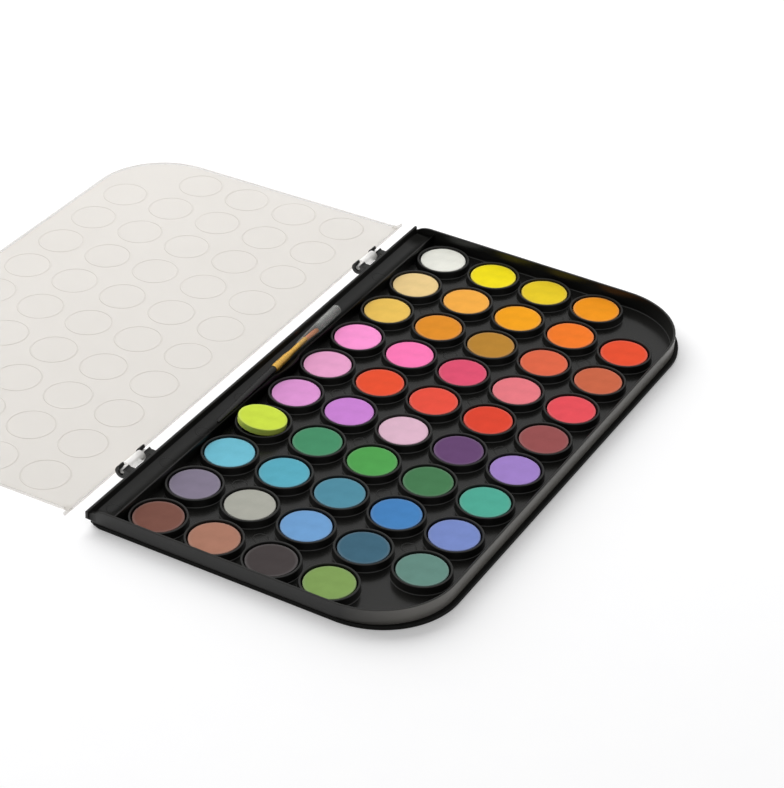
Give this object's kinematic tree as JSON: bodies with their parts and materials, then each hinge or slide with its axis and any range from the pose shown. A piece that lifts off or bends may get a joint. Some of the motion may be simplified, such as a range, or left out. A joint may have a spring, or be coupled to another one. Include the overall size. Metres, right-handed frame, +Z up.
{
  "type": "watercolour paint box",
  "caption": "Flat watercolour box: a black tray of round paint cakes, a frosted lid on two snap hinges, and a capped brush in a side channel.",
  "frame": {"origin": "on the table, under the middle of the opened box", "axes": "+Z up, +X across the box from the open lid to the tray's rounded side, +Y along the hinge to the far end"},
  "size_m": [0.3346, 0.3014, 0.0101],
  "materials": {
    "tray_black": "satin black moulded plastic",
    "lid_frosted": "frosted translucent moulded plastic",
    "handle_black": "glossy black",
    "ferrule_gold": "bright gold-coloured metal",
    "bristle_brown": "fine orange-brown hair",
    "cap_clear": "clear smooth plastic",
    "paint_white": "dry pressed watercolour, matte",
    "paint_cream": "dry pressed watercolour, matte",
    "paint_ochre": "dry pressed watercolour, matte",
    "paint_pink": "dry pressed watercolour, matte",
    "paint_light_rose": "dry pressed watercolour, matte",
    "paint_orchid": "dry pressed watercolour, matte",
    "paint_lime": "dry pressed watercolour, matte",
    "paint_sky_blue": "dry pressed watercolour, matte",
    "paint_grey_purple": "dry pressed watercolour, matte",
    "paint_brown": "dry pressed watercolour, matte",
    "paint_lemon": "dry pressed watercolour, matte",
    "paint_light_orange": "dry pressed watercolour, matte",
    "paint_amber": "dry pressed watercolour, matte",
    "paint_hot_pink": "dry pressed watercolour, matte",
    "paint_vermilion": "dry pressed watercolour, matte",
    "paint_violet": "dry pressed watercolour, matte",
    "paint_green": "dry pressed watercolour, matte",
    "paint_turquoise": "dry pressed watercolour, matte",
    "paint_grey": "dry pressed watercolour, matte",
    "paint_tan": "dry pressed watercolour, matte",
    "paint_yellow": "dry pressed watercolour, matte",
    "paint_orange_yellow": "dry pressed watercolour, matte",
    "paint_raw_sienna": "dry pressed watercolour, matte",
    "paint_crimson": "dry pressed watercolour, matte",
    "paint_red": "dry pressed watercolour, matte",
    "paint_pale_lilac": "dry pressed watercolour, matte",
    "paint_mid_green": "dry pressed watercolour, matte",
    "paint_teal": "dry pressed watercolour, matte",
    "paint_blue": "dry pressed watercolour, matte",
    "paint_black": "dry pressed watercolour, matte",
    "paint_golden": "dry pressed watercolour, matte",
    "paint_orange": "dry pressed watercolour, matte",
    "paint_terracotta": "dry pressed watercolour, matte",
    "paint_coral": "dry pressed watercolour, matte",
    "paint_scarlet": "dry pressed watercolour, matte",
    "paint_deep_purple": "dry pressed watercolour, matte",
    "paint_dark_green": "dry pressed watercolour, matte",
    "paint_cobalt": "dry pressed watercolour, matte",
    "paint_slate_blue": "dry pressed watercolour, matte",
    "paint_olive": "dry pressed watercolour, matte",
    "paint_red_orange": "dry pressed watercolour, matte",
    "paint_sienna": "dry pressed watercolour, matte",
    "paint_rose_red": "dry pressed watercolour, matte",
    "paint_maroon": "dry pressed watercolour, matte",
    "paint_lavender": "dry pressed watercolour, matte",
    "paint_sea_green": "dry pressed watercolour, matte",
    "paint_periwinkle": "dry pressed watercolour, matte",
    "paint_grey_green": "dry pressed watercolour, matte"
  },
  "bodies": {
    "tray": {"tray": "tray_black", "cake_white": "paint_white", "cake_cream": "paint_cream", "cake_ochre": "paint_ochre", "cake_pink": "paint_pink", "cake_light_rose": "paint_light_rose", "cake_orchid": "paint_orchid", "cake_sky_blue": "paint_sky_blue", "cake_grey_purple": "paint_grey_purple", "cake_brown": "paint_brown", "cake_lemon": "paint_lemon", "cake_light_orange": "paint_light_orange", "cake_amber": "paint_amber", "cake_hot_pink": "paint_hot_pink", "cake_vermilion": "paint_vermilion", "cake_violet": "paint_violet", "cake_green": "paint_green", "cake_turquoise": "paint_turquoise", "cake_grey": "paint_grey", "cake_tan": "paint_tan", "cake_yellow": "paint_yellow", "cake_orange_yellow": "paint_orange_yellow", "cake_raw_sienna": "paint_raw_sienna", "cake_crimson": "paint_crimson", "cake_red": "paint_red", "cake_pale_lilac": "paint_pale_lilac", "cake_mid_green": "paint_mid_green", "cake_teal": "paint_teal", "cake_blue": "paint_blue", "cake_black": "paint_black", "cake_golden": "paint_golden", "cake_orange": "paint_orange", "cake_terracotta": "paint_terracotta", "cake_coral": "paint_coral", "cake_scarlet": "paint_scarlet", "cake_deep_purple": "paint_deep_purple", "cake_dark_green": "paint_dark_green", "cake_cobalt": "paint_cobalt", "cake_slate_blue": "paint_slate_blue", "cake_olive": "paint_olive", "cake_red_orange": "paint_red_orange", "cake_sienna": "paint_sienna", "cake_rose_red": "paint_rose_red", "cake_maroon": "paint_maroon", "cake_lavender": "paint_lavender", "cake_sea_green": "paint_sea_green", "cake_periwinkle": "paint_periwinkle", "cake_grey_green": "paint_grey_green"},
    "lid": {"lid": "lid_frosted"},
    "brush": {"brush_handle": "handle_black", "brush_ferrule": "ferrule_gold", "brush_bristles": "bristle_brown"},
    "brush_cap": {"brush_cap": "cap_clear"},
    "loose_cake": {"cake_lime": "paint_lime"}
  },
  "joints": [
    {"name": "lid_hinge", "type": "hinge", "parent": "tray", "child": "lid", "pos_m": [-0.00108, 0, 0.0071], "axis": [0, 1, 0], "range_deg": [0, 181]},
    {"name": "brush_lift", "type": "slide", "parent": "tray", "child": "brush", "axis": [0, 0, 1], "range_m": [0, 0.03]},
    {"name": "cap_pull", "type": "slide", "parent": "brush", "child": "brush_cap", "axis": [-0.0349, 0.9994, 0], "range_m": [0, 0.02]},
    {"name": "loose_cake_lift", "type": "slide", "parent": "tray", "child": "loose_cake", "axis": [0, 0, 1], "range_m": [0, 0.02]}
  ]
}
